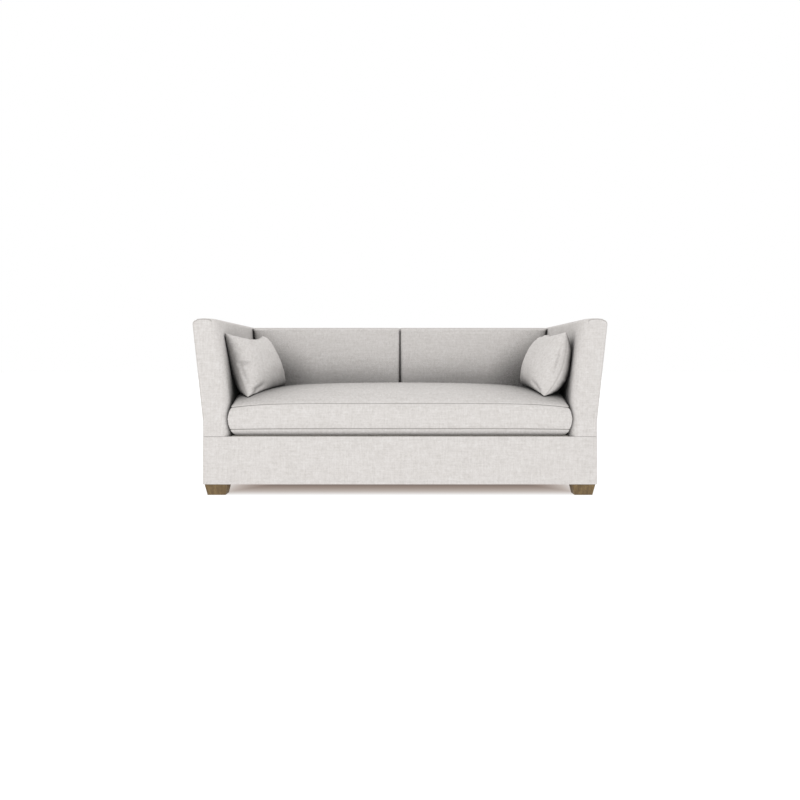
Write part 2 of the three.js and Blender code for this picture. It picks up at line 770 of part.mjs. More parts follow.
// Height of the seat cushion's crowned top.
function seatTopZ(x, y) {
  const u = clamp(Math.abs(x) / cushionTopHalf, 0, 1);
  const middle = (cushionTopFront + cushionTopRear) / 2;
  const v = clamp(Math.abs(y - middle) / ((cushionTopRear - cushionTopFront) / 2), 0, 1);
  const rounding = ((1 - u ** crownEndPower) * (1 - v ** crownFrontPower)) ** crownRoundness;
  return seamZ(x) + cushionCrown * (1 - crownFall * u ** crownFallPower) * rounding;
}

// One level of the seat cushion, seen from above: its right half, and that half turned round.
function cushionRing(halfX, frontY, rearY, radius) {
  const arc = (x, y, quarter) => Array.from({ length: cushionCornerSteps + 1 }, (_, i) => {
    const angle = Math.PI * (quarter + (0.5 * i) / cushionCornerSteps);
    return point(x + radius * Math.cos(angle), y + radius * Math.sin(angle));
  });
  const across = (y) => Array.from({ length: cushionLongSteps / 2 },
    (_, i) => point((halfX - radius) * ((2 * i) / cushionLongSteps), y));
  const endFrom = Math.max(frontPadRear, frontY + radius + gap);
  const endPoints = [0, ...cushionEndShares].map((share) =>
    point(halfX, lerp(endFrom, rearY - radius, share)));
  const right = [
    ...across(frontY),
    ...arc(halfX - radius, frontY + radius, 1.5),
    ...endPoints,
    ...arc(halfX - radius, rearY - radius, 0),
    ...across(rearY).reverse(),
  ];
  const left = right.slice(1, -1).reverse().map((p) => point(-p.x, p.y));
  return [...right, ...left];
}

function seatCushion() {
  const sideRings = cushionSideShares.map(([heightShare, drawInShare]) => {
    const z = lerp(deckTop + gap, cushionUpperSeam, heightShare);
    const inset = cushionDrawIn * drawInShare;
    const endZ = z - cushionSeamDrop * heightShare;
    const halfX = innerX(endZ) - gap - inset;
    const rearY = backFaceY(z) - gap - inset;
    return cushionRing(halfX, front + inset, rearY, cushionCorner).map((p) => {
      const flareShare = clamp((frontPadRear - p.y) / frontPadDepth, 0, 1) ** flarePower;
      const x = p.x * (1 + (flareShare * cushionFrontFlare) / halfX);
      const drop = (cushionUpperSeam - seamZ(p.x)) * heightShare;
      const rearShare = (p.y - front) / (rearY - front);
      return new THREE.Vector3(x, p.y - drop * backRake * rearShare, z - drop);
    });
  });
  const topRings = cushionTopShares.map((share) => {
    const further = (share * (cushionTopRear - cushionTopFront)) / 2;
    const loop = cushionRing(cushionTopHalf - further, cushionTopFront + further,
      cushionTopRear - further, cushionCorner + further * cushionRoundingShare);
    return loop.map((p) => new THREE.Vector3(p.x, p.y, seatTopZ(p.x, p.y)));
  });
  return loft([...sideRings, ...topRings]);
}

// A knife-edged pillow between four corners of its seam, at the right arm. Its cloth is pressed in
// where it would reach into the seat cushion or the arm.
function leaningPillow(seam) {
  const drawIn = seam.drawInShares;
  const [topFront, topRear] = [seam.topFront, seam.topRear].map(([inward, back, below]) =>
    new THREE.Vector3(innerX(armTop - below) - inward, front + back, armTop - below));
  const [lowFront, lowRear] = [seam.lowFront, seam.lowRear].map(([inward, back]) => {
    const [x, y] = [seatWidth / 2 - inward, front + back];
    return new THREE.Vector3(x, y, seatTopZ(x, y));
  });
  const softly = (room) => pillowSoftness * Math.log1p(Math.exp(room / pillowSoftness));
  const pressed = ({ x, y, z }) => {
    const seat = seatTopZ(x, y) + gap;
    const raised = seat + softly(z - seat);
    const arm = innerX(raised) - gap;
    const inside = arm - softly(arm - x);
    return new THREE.Vector3(inside, y, Math.max(raised, seatTopZ(inside, y) + gap));
  };
  const at = (i) => Math.sin((Math.PI / 2) * mapLinear(i, 0, pillowCells, -1, 1));
  const nearEdge = (t) => ((1 + t) / 2) ** 2;
  const fullness = (t) => Math.max(1 - Math.abs(t) ** pillowFlatness, 0) ** pillowFullness;
  const place = (i, j, side) => {
    const [u, v] = [at(i), at(j)];
    const along = (1 + u) / 2
      + (1 - v * v) * (drawIn.front * nearEdge(-u) - drawIn.rear * nearEdge(u));
    const up = (1 + v) / 2 + (1 - u * u) * (drawIn.low * nearEdge(-v) - drawIn.top * nearEdge(v));
    const low = lowFront.clone().lerp(lowRear, along);
    const high = topFront.clone().lerp(topRear, along);
    const lengthways = lowRear.clone().sub(lowFront).lerp(topRear.clone().sub(topFront), up);
    const outward = lengthways.cross(high.clone().sub(low)).normalize();
    const swell = (side * pillowThickness * fullness(u) * fullness(v)) / 2;
    return pressed(low.lerp(high, up).addScaledVector(outward, swell));
  };
  const triangles = [];
  for (let i = 0; i < pillowCells; i++) {
    for (let j = 0; j < pillowCells; j++) {
      for (const side of [1, -1]) {
        const [a, b, c, d] = [
          place(i, j, side),
          place(i + 1, j, side),
          place(i + 1, j + 1, side),
          place(i, j + 1, side),
        ];
        triangles.push(...(side > 0 ? [a, b, c, a, c, d] : [a, c, b, a, d, c]));
      }
    }
  }
  return mergeVertices(new THREE.BufferGeometry().setFromPoints(triangles));
}

function addLooseCushions() {
  const loose = addGroup();
  addPiece(loose, "seat_cushion", seatCushion(), "linen");
  addPiece(loose, "pillow_left", mirrored(leaningPillow(pillowSeams.left)), "linen");
  addPiece(loose, "pillow_right", leaningPillow(pillowSeams.right), "linen");
}

addSeatBox();
addArmFrames();
addArmPads();
addBase();
addSuspension();
addBackFrame();
addBackPads();
addLooseCushions();

export default sofa;
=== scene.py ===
import math
import bpy
import numpy as np
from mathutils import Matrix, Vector, noise


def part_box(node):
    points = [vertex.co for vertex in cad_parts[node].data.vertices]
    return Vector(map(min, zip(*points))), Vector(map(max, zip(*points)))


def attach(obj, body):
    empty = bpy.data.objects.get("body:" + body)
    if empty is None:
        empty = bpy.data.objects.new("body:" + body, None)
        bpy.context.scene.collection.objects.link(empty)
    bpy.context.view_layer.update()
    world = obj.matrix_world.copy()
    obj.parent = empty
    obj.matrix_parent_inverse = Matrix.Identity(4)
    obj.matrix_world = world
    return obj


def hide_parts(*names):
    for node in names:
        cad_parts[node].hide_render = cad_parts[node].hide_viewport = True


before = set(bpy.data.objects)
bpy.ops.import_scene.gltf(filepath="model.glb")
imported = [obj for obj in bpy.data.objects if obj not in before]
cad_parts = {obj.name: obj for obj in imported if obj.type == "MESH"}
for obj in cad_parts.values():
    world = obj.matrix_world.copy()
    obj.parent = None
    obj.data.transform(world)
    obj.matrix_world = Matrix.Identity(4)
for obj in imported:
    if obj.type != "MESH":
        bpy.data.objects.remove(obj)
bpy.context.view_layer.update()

# Two-seat sofa with leaning arms, in metres. +Z is up and the front faces -Y.
# Left and right are as seen by someone who stands in front of the sofa.

mm = 0.001

# Sizes that the cloth shares with the frame
front, rear = -470 * mm, 470 * mm
base_side = 930 * mm
seat_side = 800 * mm
band_top = 278 * mm
deck_top, deck_bottom = 279 * mm, 264 * mm
lean_start = 347 * mm
arm_bend, arm_bend_side = 420 * mm, 806 * mm
arm_shoulder, arm_shoulder_side = 806 * mm, 980 * mm
arm_top, arm_top_inside = 832 * mm, 867 * mm
back_top = 829 * mm
frame_top = 800 * mm
gap = 0.3 * mm
skin = 15 * mm
arm_pad = 24 * mm
arm_front_pad = 47 * mm
arm_rear_board = 22 * mm
front_pad_rear = front + arm_front_pad
box_rear = rear - skin - gap
back_depth, back_seat_height, back_rake = 250 * mm, 500 * mm, 0.25
back_pad = 60 * mm

# Sizes of the cloth alone
panel_round, panel_cell = 3 * mm, 24 * mm  # rounded edges and mesh of the thin padded panels
seam_shadow_half_width = 2 * mm  # half the width of the painted shadow along a seam
arm_crown, crown_edge = 5 * mm, 3 * mm  # the padding's rise on an arm's top, and how far down it goes
back_side_round = 22 * mm  # of a back pad's two sides

# The groove along a seam: from its middle to where the cloth is level again, and its depth
arm_groove = (1.8 * mm, 0.9 * mm)
back_groove = (2.2 * mm, 1.2 * mm)
cushion_low_groove = (3.4 * mm, 2.0 * mm)
cushion_top_groove = (4.2 * mm, 2.2 * mm)

# Degrees between two faces that meet in a visible edge; a pillow's cloth folds more before it creases
edge_angle, pillow_edge_angle = 50, 75


# Shapes

def clamped(share):
    """A share held between 0 and 1."""
    return min(max(share, 0), 1)


def outer_x(z):
    """Half the width over the outsides of the arms at a height."""
    share = (z - lean_start) / (arm_shoulder - lean_start)
    return np.where(z <= lean_start, base_side, base_side + share * (arm_shoulder_side - base_side))


def leaning_x(z):
    """Half the width between the leaning insides of the arms."""
    share = (z - arm_bend) / (arm_top - arm_bend)
    return arm_bend_side + share * (arm_top_inside - arm_bend_side)


def inner_x(z):
    """Half the width between the insides of the arms at a height."""
    low = seat_side + (z - band_top) / (arm_bend - band_top) * (arm_bend_side - seat_side)
    return np.where(z > arm_bend, leaning_x(z), low)


def back_face_y(z):
    """Place of the back pads' front face at a height."""
    return rear - back_depth + (z - back_seat_height) * back_rake


def steps(start, end, count):
    """Evenly spaced values, both ends among them."""
    return [start + (end - start) * i / count for i in range(count + 1)]


def near_ends(start, end, count, rounding, eased_count=5):
    """Values from start to end, close together within the rounding of each end."""
    eased = [rounding * (1 - math.cos(math.pi / 2 * i / eased_count)) for i in range(eased_count)]
    return ([start + e for e in eased] + steps(start + rounding, end - rounding, count)
            + [end - e for e in reversed(eased)])


def draw_in(place, start, end, rounding):
    """How far a rounded edge draws a section in, at a place between two ends."""
    into = min(place - start, end - place, rounding)
    return rounding - math.sqrt(max(rounding ** 2 - (rounding - into) ** 2, 0))


def seam_dip(distance, groove):
    """Depth of the groove along a seam at a distance from it."""
    width, depth = groove
    share = min(abs(distance) / width, 1)
    return depth * (1 - share) ** 2 * (1 + 2 * share)


def painted_seam_shadow(distance):
    """How dark the painted shadow along a seam is at a distance from it, from 0 to 1."""
    return max(1 - abs(distance) / seam_shadow_half_width, 0)


def quadratic(a, b, c, t):
    """A point on the curve from a to c that leans towards b."""
    return tuple((1 - t) ** 2 * p + 2 * t * (1 - t) * q + t ** 2 * r for p, q, r in zip(a, b, c))


def rounded_section(a0, a1, b0, b1, radius, inset, cell, corner_count=4, least_share=0.2):
    """A rounded rectangle as points (a, b), drawn in by inset, with a point every cell or so."""
    a0, a1, b0, b1 = a0 + inset, a1 - inset, b0 + inset, b1 - inset
    r = max(radius - inset, least_share * radius)
    count_a, count_b = (max(2, round(side / cell)) for side in (a1 - a0, b1 - b0))
    # the centre of each corner, then the end of the straight side after it and the points along that
    corners = (((a1 - r, b0 + r), (a1, b1 - r), count_b), ((a1 - r, b1 - r), (a0 + r, b1), count_a),
               ((a0 + r, b1 - r), (a0, b0 + r), count_b), ((a0 + r, b0 + r), (a1 - r, b0), count_a))
    loop = []
    for turn, ((a, b), after, count) in enumerate(corners):
        for i in range(corner_count + 1):
            angle = math.pi / 2 * (turn - 1 + i / corner_count)
            loop.append((a + r * math.cos(angle), b + r * math.sin(angle)))
        last = loop[-1]
        loop += [(last[0] + (after[0] - last[0]) * i / count, last[1] + (after[1] - last[1]) * i / count)
                 for i in range(1, count)]
    return loop


def straight_slab(low, high, along, rounding, cell):
    """A slab with rounded edges, as rings along one of its sides."""
    other = [i for i in range(3) if i != along]
    rings = []
    count = max(4, round((high[along] - low[along]) / (cell * 2)))
    for place in near_ends(low[along], high[along], count, rounding):
        inset = draw_in(place, low[along], high[along], rounding)
        ring = []
        for a, b in rounded_section(low[other[0]], high[other[0]], low[other[1]], high[other[1]],
                                    rounding, inset, cell):
            point = [0, 0, 0]
            point[along], point[other[0]], point[other[1]] = place, a, b
            ring.append(tuple(point))
        rings.append(ring)
    return rings


def lofted(rings):
    """Points and faces of a closed skin over rings that have as many points each."""
    count = len(rings[0])
    points = [p for ring in rings for p in ring]
    faces = []
    for r in range(len(rings) - 1):
        for i in range(count):
            j = (i + 1) % count
            faces.append((r * count + i, r * count + j, (r + 1) * count + j, (r + 1) * count + i))
    faces.append(tuple(reversed(range(count))))
    faces.append(tuple(range((len(rings) - 1) * count, len(rings) * count)))
    return points, faces


def mirror(points):
    """Points turned over from the right side of the sofa to the left."""
    return [(-p[0], *p[1:]) for p in points]


def sided(side, points):
    """Points of a piece that is worked out for the right, on the side where it belongs."""
    return mirror(points) if side == "left" else points


# Pieces

def make_piece(name, node, points, faces, finish, body="sofa", angle=edge_angle):
    """A mesh piece that stands for a node of the frame and rides on its body. A point is (x, y, z),
    or (x, y, z, how dark the painted shadow along a seam is there)."""
    mesh = bpy.data.meshes.new(name)
    mesh.from_pydata([tuple(p[:3]) for p in points], [], faces)
    mesh.materials.append(finish)
    # the seam attribute holds how dark the painted shadow along a seam is
    painted_shade = mesh.attributes.new("seam", "FLOAT", "POINT")
    painted_shade.data.foreach_set("value", [p[3] if len(p) > 3 else 0 for p in points])
    piece = bpy.data.objects.new(name, mesh)
    bpy.context.scene.collection.objects.link(piece)
    face_outwards(mesh)
    mesh.shade_smooth()
    mesh.set_sharp_from_angle(angle=math.radians(angle))
    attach(piece, body)
    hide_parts(node)
    return piece


def face_outwards(mesh):
    """Turns a closed mesh so that its faces look out."""
    mesh.calc_loop_triangles()
    places = np.array([v.co for v in mesh.vertices])
    a, b, c = (places[[t.vertices[k] for t in mesh.loop_triangles]] for k in range(3))
    volume = np.einsum("ij,ij->i", a, np.cross(b, c)).sum()
    if volume < 0:
        mesh.flip_normals()


# Finishes

# sockets of a Mix node for colours
mix_share, mix_first, mix_second, mix_result = 0, 6, 7, 2
# bands in a metre that a wave texture of scale 1 draws
bands_at_scale_1 = 3.1


def linear(code):
    """Linear RGBA from an sRGB hex colour."""
    parts = [int(code[i:i + 2], 16) / 255 for i in (1, 3, 5)]
    return tuple(c / 12.92 if c <= 0.04045 else ((c + 0.055) / 1.055) ** 2.4 for c in parts) + (1,)


def add_node(tree, kind, inputs=None, stops=(), **settings):
    """One shader node with its settings and links. An input is a value or another node's socket, and
    each stop of a ramp is a place from 0 to 1 and a hex colour."""
    made = tree.nodes.new("ShaderNode" + kind)
    for name, value in settings.items():
        setattr(made, name, value)
    for name, value in (inputs or {}).items():
        socket = made.inputs[name]
        if isinstance(value, bpy.types.NodeSocket):
            tree.links.new(value, socket)
        else:
            socket.default_value = value
    if stops:
        elements = made.color_ramp.elements
        while len(elements) < len(stops):
            elements.new(0.5)
        for element, (place, code) in zip(elements, stops):
            element.position = place
            element.color = linear(code)
    return made


def new_finish(name, **surface):
    """A material with one principled surface; returns it with its tree and surface."""
    finish = bpy.data.materials.new(name)
    finish.use_nodes = True
    tree = finish.node_tree
    tree.nodes.clear()
    shader = add_node(tree, "BsdfPrincipled", {k.replace("_", " "): v for k, v in surface.items()})
    add_node(tree, "OutputMaterial", {"Surface": shader.outputs["BSDF"]})
    return finish, tree, shader


def streaks(tree, place, along, across, axis, detail=2.0):
    """Noise drawn out along one axis: yarns or grain of a length and a thickness."""
    scale = [1 / across] * 3
    scale["XYZ".index(axis)] = 1 / along
    mapped = add_node(tree, "Mapping", {"Vector": place, "Scale": scale})
    return add_node(tree, "TexNoise", {"Vector": mapped.outputs["Vector"], "Scale": 1.0,
                                       "Detail": detail, "Roughness": 0.6}).outputs["Fac"]


def woven(tree, place, spacing, **bands):
    """Bands a spacing apart along each axis, for the threads of a weave."""
    inputs = {"Vector": place, "Scale": 1 / spacing / bands_at_scale_1, **bands}
    return [add_node(tree, "TexWave", inputs, bands_direction=axis).outputs["Fac"] for axis in "XYZ"]


def average(tree, *values):
    """The average of several values."""
    result = values[0]
    for value in values[1:]:
        result = add_node(tree, "Math", {0: result, 1: value}, operation="ADD").outputs[0]
    return add_node(tree, "Math", {0: result, 1: 1 / len(values)}, operation="MULTIPLY").outputs[0]


def make_linen(name, reach, painted_shade, unshaded_from=0.8, painted_shade_above=(240 * mm, 285 * mm)):
    """Light grey linen melange in a plain weave: pale and matt, with slubs in both yarns. Painted
    shade darkens its colour where other surfaces lie within reach: the more closed in, the darker, to a
    given power, and none where it is more open than a given share. It starts between two given heights."""
    # yarns are 1 mm apart; drawn 7 mm thick, which is as fine as shows from a few steps away
    slub_length, slub_width, fleck, weave_spacing = 70 * mm, 7 * mm, 14 * mm, 6 * mm
    # below the seat's top the painted shade takes notice only of what is near
    low_reach, low_until, high_from = 320 * mm, 425 * mm, 460 * mm
    finish, tree, shader = new_finish(name, Roughness=0.88, Specular_IOR_Level=0.15,
                                      Sheen_Weight=0.04, Sheen_Roughness=0.5)
    place = add_node(tree, "TexCoord").outputs["Object"]
    slubs = [streaks(tree, place, slub_length, slub_width, axis) for axis in "XYZ"]
    flecks = add_node(tree, "TexNoise", {"Vector": place, "Scale": 1 / fleck, "Detail": 3.0})
    mixed = average(tree, *slubs, flecks.outputs["Fac"])
    cloth = add_node(tree, "ValToRGB", {"Fac": mixed},
                     stops=((0.34, "#c8c4c0"), (0.5, "#d6d2cf"), (0.66, "#e2dfdd"))).outputs["Color"]
    height = add_node(tree, "SeparateXYZ", {"Vector": place}).outputs["Z"]
    reach_here = add_node(tree, "MapRange", {"Value": height, "From Min": low_until, "From Max": high_from,
                                             "To Min": min(reach, low_reach), "To Max": reach})
    # painted shade: ambient occlusion darkens the cloth's colour in corners, creases and between parts
    occlusion = add_node(tree, "AmbientOcclusion", {"Distance": reach_here.outputs["Result"]}, samples=6)
    unoccluded_share = add_node(tree, "MapRange", {"Value": occlusion.outputs["AO"], "From Max": unshaded_from})
    painted_light_share = add_node(tree, "Math", {0: unoccluded_share.outputs["Result"], 1: painted_shade}, operation="POWER")
    painted_shade_colour = add_node(tree, "Mix", {mix_share: 1.0, mix_first: cloth, mix_second: painted_light_share.outputs[0]},
                      data_type="RGBA", blend_type="MULTIPLY").outputs[mix_result]
    # no painted shade low down: the base keeps its plain colour
    painted_shade_mask = add_node(tree, "MapRange", {"Value": height, "From Min": painted_shade_above[0],
                                             "From Max": painted_shade_above[1]}).outputs["Result"]
    colour = add_node(tree, "Mix", {mix_share: painted_shade_mask, mix_first: cloth, mix_second: painted_shade_colour},
                      data_type="RGBA").outputs[mix_result]
    # painted shadow along stitched seams, from the seam attribute
    seam = add_node(tree, "Attribute", attribute_name="seam").outputs["Fac"]
    colour = add_node(tree, "Mix", {mix_share: seam, mix_first: colour, mix_second: linear("#8b8783")},
                      data_type="RGBA").outputs[mix_result]
    weave = woven(tree, place, weave_spacing, Distortion=1.2, Detail=1.0)
    bump = add_node(tree, "Bump", {"Height": average(tree, *slubs, *slubs, *weave), "Strength": 0.25,
                                   "Distance": 1.2 * mm})
    tree.links.new(colour, shader.inputs["Base Color"])
    tree.links.new(bump.outputs["Normal"], shader.inputs["Normal"])
    return finish


def make_cloth(name, colours, yarn, depth=0.4 * mm, roughness=0.93):
    """A plain woven or felted cloth: matt, with yarns a distance apart that differ a little in tone."""
    run = yarn * 12  # over which a yarn keeps its tone
    finish, tree, shader = new_finish(name, Roughness=roughness)
    place = add_node(tree, "TexCoord").outputs["Object"]
    yarns = average(tree, *(streaks(tree, place, run, yarn, axis) for axis in "XYZ"))
    weave = average(tree, *woven(tree, place, yarn, Distortion=0.6))
    colour = add_node(tree, "ValToRGB", {"Fac": yarns}, stops=tuple(zip((0.35, 0.5, 0.65), colours)))
    bump = add_node(tree, "Bump", {"Height": weave, "Strength": 0.5, "Distance": depth})
    tree.links.new(colour.outputs["Color"], shader.inputs["Base Color"])
    tree.links.new(bump.outputs["Normal"], shader.inputs["Normal"])
    return finish


def make_wood(name, colours, grain, axis, roughness, depth):
    """Planed wood with its grain along one axis: long fibres, and growth bands a few fibres wide."""
    fibre_run, band_run, band_width = grain * 40, grain * 60, grain * 7
    finish, tree, shader = new_finish(name, IOR=1.5)
    place = add_node(tree, "TexCoord").outputs["Object"]
    fibres = streaks(tree, place, fibre_run, grain, axis, detail=4.0)
    bands = streaks(tree, place, band_run, band_width, axis)
    colour = add_node(tree, "ValToRGB", {"Fac": average(tree, fibres, bands)},
                      stops=tuple(zip((0.36, 0.5, 0.64), colours)))
    rough = add_node(tree, "MapRange", {"Value": fibres, "To Min": roughness - 0.08,
                                        "To Max": roughness + 0.1})
    bump = add_node(tree, "Bump", {"Height": fibres, "Strength": 0.4, "Distance": depth})
    tree.links.new(colour.outputs["Color"], shader.inputs["Base Color"])
    tree.links.new(rough.outputs["Result"], shader.inputs["Roughness"])
    tree.links.new(bump.outputs["Normal"], shader.inputs["Normal"])
    return finish


def make_steel(name, colours, roughness, mark, axis):
    """Bare or plated steel: a dull shine broken by fine drawing or rolling marks."""
    mark_run = mark * 30
    finish, tree, shader = new_finish(name, Metallic=1.0)
    place = add_node(tree, "TexCoord").outputs["Object"]
    marks = streaks(tree, place, mark_run, mark, axis)
    colour = add_node(tree, "ValToRGB", {"Fac": marks}, stops=tuple(zip((0.35, 0.65), colours)))
    rough = add_node(tree, "MapRange", {"Value": marks, "To Min": roughness - 0.06,
                                        "To Max": roughness + 0.08})
    tree.links.new(colour.outputs["Color"], shader.inputs["Base Color"])
    tree.links.new(rough.outputs["Result"], shader.inputs["Roughness"])
    return finish


# The same linen on every piece, in copies that differ only in their painted shade: deepest on the seat and
# back, weaker on the left arm and weakest on the right one, and deeper on the left pillow than on the right
# one
linen = make_linen("linen_melange_painted_shade", reach=320 * mm, painted_shade=1.5)
linen_painted_shade_left_pillow = make_linen("linen_melange_painted_shade_left_pillow", reach=320 * mm, painted_shade=1.8, unshaded_from=0.95)
linen_painted_shade_left_arm = make_linen("linen_melange_painted_shade_left_arm", reach=320 * mm, painted_shade=1.0)
linen_painted_shade_right_arm = make_linen("linen_melange_painted_shade_right_arm", reach=140 * mm, painted_shade=0.5)
linen_painted_shade_back = make_linen("linen_melange_painted_shade_back", reach=320 * mm, painted_shade=2.7, unshaded_from=0.78)
linen_painted_shade_seat = make_linen("linen_melange_painted_shade_seat", reach=1100 * mm, painted_shade=4.2, unshaded_from=0.95,
                        painted_shade_above=(228 * mm, 352 * mm))

# Unbleached cotton, a little warmer than the linen; black felted cloth; jute with coarse brown yarns.
# Real cotton yarns lie less than 1 mm apart, fibres of felt closer still and jute yarns about 2 mm.
# All are drawn 3 or 4 mm apart so that they show.
decking = make_cloth("cotton_decking", ("#bdb7ae", "#cbc6be", "#d8d4cd"), 3 * mm)
dust_cloth = make_cloth("dust_cloth_nonwoven", ("#1f1e1d", "#2a2928", "#353433"), 4 * mm)
jute = make_cloth("jute_webbing", ("#7f6a45", "#9a8358", "#b39c70"), 3 * mm, depth=0.8 * mm)

# Oiled oak, brown with a soft sheen, and planed beech, pale and dry, with its grain along each rail.
# Real fibres are finer than 0.5 mm, and are drawn 2 mm wide and more so that they show.
oak = make_wood("oiled_oak", ("#574426", "#6b5532", "#806a42"), 2.2 * mm, "Z", 0.5, 0.25 * mm)
beech_across, beech_along, beech_up = (
    make_wood("planed_beech_" + way, ("#b08a5c", "#c8a67a", "#d8bb92"), 2.5 * mm, axis, 0.72, 0.2 * mm)
    for way, axis in (("across", "X"), ("along", "Y"), ("up", "Z")))

# Drawn steel wire is dark and oily, and zinc plate is lighter
spring_wire = make_steel("drawn_spring_wire", ("#5a5d60", "#85898c"), 0.38, 1 * mm, "Y")
zinc = make_steel("zinc_plate", ("#9a9da0", "#c3c6c8"), 0.34, 2 * mm, "X")


# Arms

def arm_outline(bottom, fine=1):
    """Skin line of the right arm as (x, z): up its inside, over its top and down its outside."""
    corner_in, corner_out = 14 * mm, 26 * mm
    top_fall, corner_fall = 2 * mm, 5 * mm  # below the arm's top, where the outer corner starts and turns
    line = [(float(inner_x(z)), z) for z in steps(bottom, arm_top - corner_in, 16 * fine)]
    x0, z0 = float(inner_x(arm_top)), arm_top
    line += [quadratic(line[-1], (x0, z0), (x0 + corner_in, z0), t) for t in steps(0, 1, 5)[1:]]
    top_end = (arm_shoulder_side - corner_out, arm_top - top_fall)
    across = np.subtract(top_end, line[-1])
    line += [tuple(np.add(line[-1], across * t)) for t in steps(0, 1, 4)[1:]]
    line += [quadratic(top_end, (arm_shoulder_side, arm_top - corner_fall),
                       (arm_shoulder_side, arm_shoulder), t) for t in steps(0, 1, 8)[1:]]
    line += [(float(outer_x(z)), z) for z in steps(arm_shoulder, lean_start, 12 * fine)[1:]]
    line += [(float(outer_x(z)), z) for z in steps(lean_start, bottom, 3)[1:]]
    return line


def crown_rise(across, z):
    """Rise of the padding over an arm's top, at a share of the way across it."""
    return arm_crown * math.sin(math.pi * clamped(across)) if z > arm_top - crown_edge else 0


def arm_front_rings():
    """Rings of an arm's padded front, from behind its rounding to the middle of its face."""
    bottom = band_top + gap
    line = arm_outline(bottom)
    line += [(line[-1][0] + (line[0][0] - line[-1][0]) * t, bottom) for t in steps(0, 1, 8)[1:-1]]
    edge_round = 8 * mm
    reach_low, reach_top = 50 * mm, 26 * mm  # of the rounding from the arm's inside to its front
    seam_inset = 5 * mm  # from the outer edge to the seam of the front panel
    seam_from, seam_fade = 0.3, 0.4  # share of the arm's width where the seam starts, and fades in
    side_seam_shadow, top_seam_shadow = 0.3, 0.8  # how dark the painted shadow along the seam is, on the arm's side and on its top

    def ring(share):
        y = front_pad_rear + (front - front_pad_rear) * share
        edge = draw_in(y, front, math.inf, edge_round)
        bend = 1 - math.sqrt(max(1 - share ** 2, 0))
        # painted shadow and groove along the front panel's seam
        painted_shade = painted_seam_shadow(edge - seam_inset)
        dip = seam_dip(edge - seam_inset, arm_groove)
        out = []
        for x, z in line:
            up = max((z - arm_bend) / (arm_top - arm_bend), 0)
            inside, outside = float(inner_x(z)), float(outer_x(min(z, arm_shoulder)))
            bent_in = inside + (reach_low + up * (reach_top - reach_low)) * bend
            across = (x - inside) / (outside - inside)
            on_top = clamped((z - arm_shoulder) / (arm_top - arm_shoulder))
            on_seam = max(clamped((across - seam_from) / seam_fade), on_top)
            out.append((bent_in + across * (outside - edge - bent_in), y + dip * on_seam,
                        z - edge * on_top + crown_rise(across, z),
                        painted_shade * on_seam * (side_seam_shadow + (top_seam_shadow - side_seam_shadow) * on_top)))
        return out

    round_shares = (0, 0.3, 0.5, 0.64, 0.74, 0.81, 0.86, 0.9, 0.94, 0.98, 1)
    shares = [0, 0.15, 0.3, 0.42, 0.52, 0.62, 0.7, 0.77]
    shares += [1 - edge_round * (1 - e) / arm_front_pad for e in round_shares]
    rings = [ring(share) for share in shares]
    return rings + arm_face_rings([p[:3] for p in rings[-1]], bottom)


def arm_face_rings(rim, bottom):
    """Rings that close an arm's face, in on a line up its middle that stops short of both ends."""
    outwards, short, nearest = 12 * mm, 60 * mm, 0.94
    middles = [((float(inner_x(z)) + float(outer_x(min(z, arm_shoulder)))) / 2 + outwards,
                min(max(z, bottom + short), arm_top - short)) for x, y, z in rim]
    rings = []
    for inset in (3 * mm, 8 * mm, 14 * mm, 24 * mm, 38 * mm, 54 * mm):
        ring = []
        for (x, y, z), (mx, mz) in zip(rim, middles):
            t = min(inset / math.hypot(mx - x, mz - z), nearest)
            ring.append((x + (mx - x) * t, y, z + (mz - z) * t))
        rings.append(ring)
    return rings


def inside_arm_rings():
    """Rings of the cover over an arm's inside and top, from front to rear."""
    over_frame = arm_shoulder + gap
    inside_until, pad_until = arm_top_inside + 5 * mm, arm_top_inside + 30 * mm
    top_from, top_width = float(inner_x(arm_top)), arm_shoulder_side - float(inner_x(arm_top))
    line = [(x, z + crown_rise((x - top_from) / top_width, z))
            for x, z in arm_outline(deck_bottom, fine=2) if z >= arm_shoulder or x < inside_until]
    panel_inside = float(outer_x(frame_top + gap)) - skin - gap
    behind = [(arm_shoulder_side, over_frame), (panel_inside, over_frame), (panel_inside, frame_top + gap),
              (float(inner_x(frame_top)) + arm_pad, frame_top + gap)]
    behind += [(float(inner_x(z)) + arm_pad, z) for z in steps(frame_top, arm_bend, 6)[1:]]
    behind.append((float(inner_x(deck_bottom)) + arm_pad, deck_bottom))
    profile = line + behind
    start, turn = front_pad_rear + gap, box_rear - arm_rear_board - gap
    rings = [[(x, y, z) for x, z in profile] for y in near_ends(start, turn, 26, 4 * mm)]
    # beside the back only the top's cover goes on, over the rear board
    clipped = [(x, max(z, over_frame)) if x < pad_until else (x, z) for x, z in profile]
    rings.append([(x, turn, z) for x, z in clipped])
    rings += [[(x, y, z) for x, z in clipped] for y in steps(turn, rear, 3)[1:]]
    return rings


def leaning_panel(start, end, low, high):
    """Outside panel of the right arm: a thin padded slab that follows the lean."""
    rings = []
    for y in near_ends(start, end, 22, panel_round):
        inset = draw_in(y, start, end, panel_round)
        section = rounded_section(-skin, 0, low, high, panel_round, inset, panel_cell)
        rings.append([(float(outer_x(z)) + a, y, z) for a, z in section])
    return rings


